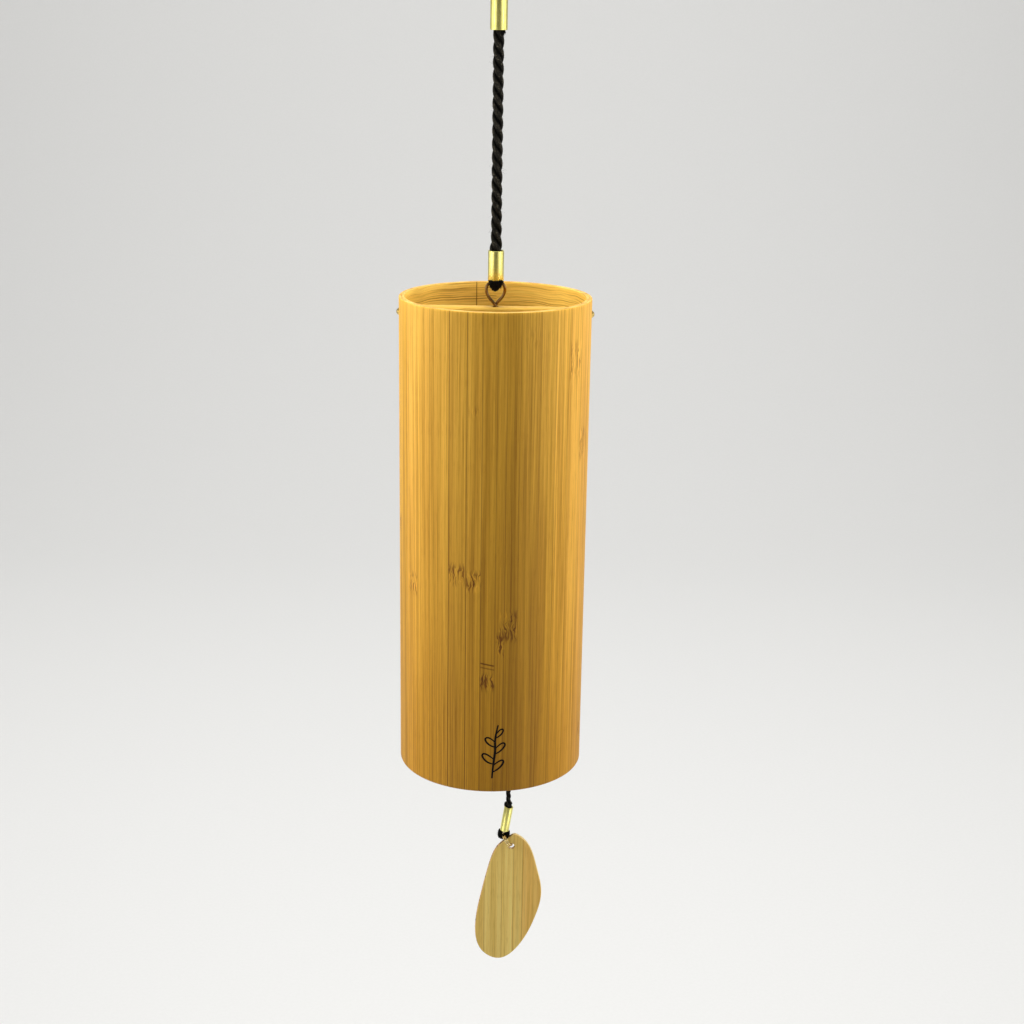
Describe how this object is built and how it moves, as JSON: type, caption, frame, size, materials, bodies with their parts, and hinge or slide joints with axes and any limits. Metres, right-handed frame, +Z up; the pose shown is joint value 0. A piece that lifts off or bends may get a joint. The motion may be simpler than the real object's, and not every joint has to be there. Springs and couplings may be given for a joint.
{
  "type": "wind chime",
  "caption": "Hanging wind chime: an open bamboo tube on a cord loop, with tuned steel tines inside, a clear striker disc and a small bamboo leaf below that catches the wind.",
  "frame": {"origin": "where a hook bears, inside the top of the hanging loop", "axes": "+Z up along the hanging cord, +X to the right along the crossbar, +Y to the back"},
  "size_m": [0.0654, 0.0636, 0.3813],
  "materials": {
    "black_cord": "three-strand twisted black cord, matt with a few loose fibres",
    "ferrule_brass": "drawn yellow brass tube, satin to bright",
    "nail_brass": "domed brass nail head, bright",
    "ring_brass": "round brass wire, bright",
    "bronze_wire": "darkened bronze wire, bent by hand",
    "bar_bamboo": "flat bamboo bar, sanded, light oil",
    "outer_bamboo": "carbonised bamboo veneer in narrow upright strips, satin oil",
    "inner_bamboo": "pale bamboo veneer with its grain running round the tube, bare",
    "leaf_bamboo": "thin pale bamboo, edge-glued strips, sanded edges",
    "plate_steel": "turned steel disc with fine circular tool marks",
    "tine_steel": "drawn steel rod, ground ends",
    "silver_braze": "silver braze, smooth and slightly dull",
    "clear_disc": "clear acrylic, polished edge"
  },
  "bodies": {
    "hanger": {"hanging_loop": "black_cord", "upper_ferrule": "ferrule_brass"},
    "hanging_cord": {"hanging_cord": "black_cord"},
    "eye_link": {"eye_ferrule": "ferrule_brass", "eye_cord_loop": "black_cord"},
    "chime": {"hanger_wire": "bronze_wire", "crossbar": "bar_bamboo", "outer_ply": "outer_bamboo", "inner_ply": "inner_bamboo", "side_nails": "nail_brass", "tine_plate": "plate_steel", "braze_fillets": "silver_braze", "tine_1": "tine_steel", "tine_2": "tine_steel", "tine_3": "tine_steel", "tine_4": "tine_steel", "tine_5": "tine_steel", "tine_6": "tine_steel", "tine_7": "tine_steel", "tine_8": "tine_steel"},
    "striker_link": {"striker_cord_loop": "black_cord", "striker_ferrule": "ferrule_brass"},
    "striker": {"striker_cord": "black_cord", "striker_disc": "clear_disc", "striker_knots": "black_cord"},
    "sail_cord": {"sail_cord": "black_cord"},
    "sail_link": {"sail_ferrule": "ferrule_brass", "sail_cord_loop": "black_cord"},
    "ring": {"split_ring": "ring_brass"},
    "sail": {"leaf": "leaf_bamboo"}
  },
  "joints": [
    {"name": "cord_swing", "type": "hinge", "parent": "hanger", "child": "hanging_cord", "pos_m": [0, 0, -0.047], "axis": [0, 1, 0], "range_deg": [-25, 25]},
    {"name": "cord_twist", "type": "hinge", "parent": "hanging_cord", "child": "eye_link", "pos_m": [0, 0, -0.11595], "axis": [0, 0, 1], "range_deg": [-180, 180]},
    {"name": "chime_swing", "type": "hinge", "parent": "eye_link", "child": "chime", "pos_m": [0, 0, -0.12744], "axis": [1, 0, 0], "range_deg": [-25, 25]},
    {"name": "striker_rock", "type": "hinge", "parent": "chime", "child": "striker_link", "pos_m": [0, 0, -0.1494], "axis": [1, 0, 0], "range_deg": [-4.5, 4.5]},
    {"name": "striker_swing", "type": "hinge", "parent": "striker_link", "child": "striker", "pos_m": [0.00046, 0, -0.16039], "axis": [0, -1, 0], "range_deg": [-9.4, 4.6]},
    {"name": "sail_cord_swing", "type": "hinge", "parent": "striker", "child": "sail_cord", "pos_m": [0.00194, 0, -0.19541], "axis": [0, -1, 0], "range_deg": [-4, 4]},
    {"name": "sail_twist", "type": "hinge", "parent": "sail_cord", "child": "sail_link", "pos_m": [0.00703, 0, -0.3158], "axis": [-0.0422, 0, 0.9991], "range_deg": [-180, 180]},
    {"name": "ring_swing", "type": "hinge", "parent": "sail_link", "child": "ring", "pos_m": [0.00534, 0, -0.32663], "axis": [0, -1, 0], "range_deg": [-60, 30]},
    {"name": "leaf_swing", "type": "hinge", "parent": "ring", "child": "sail", "pos_m": [0.00791, 0, -0.33109], "axis": [0, -1, 0], "range_deg": [-8, 8]}
  ]
}
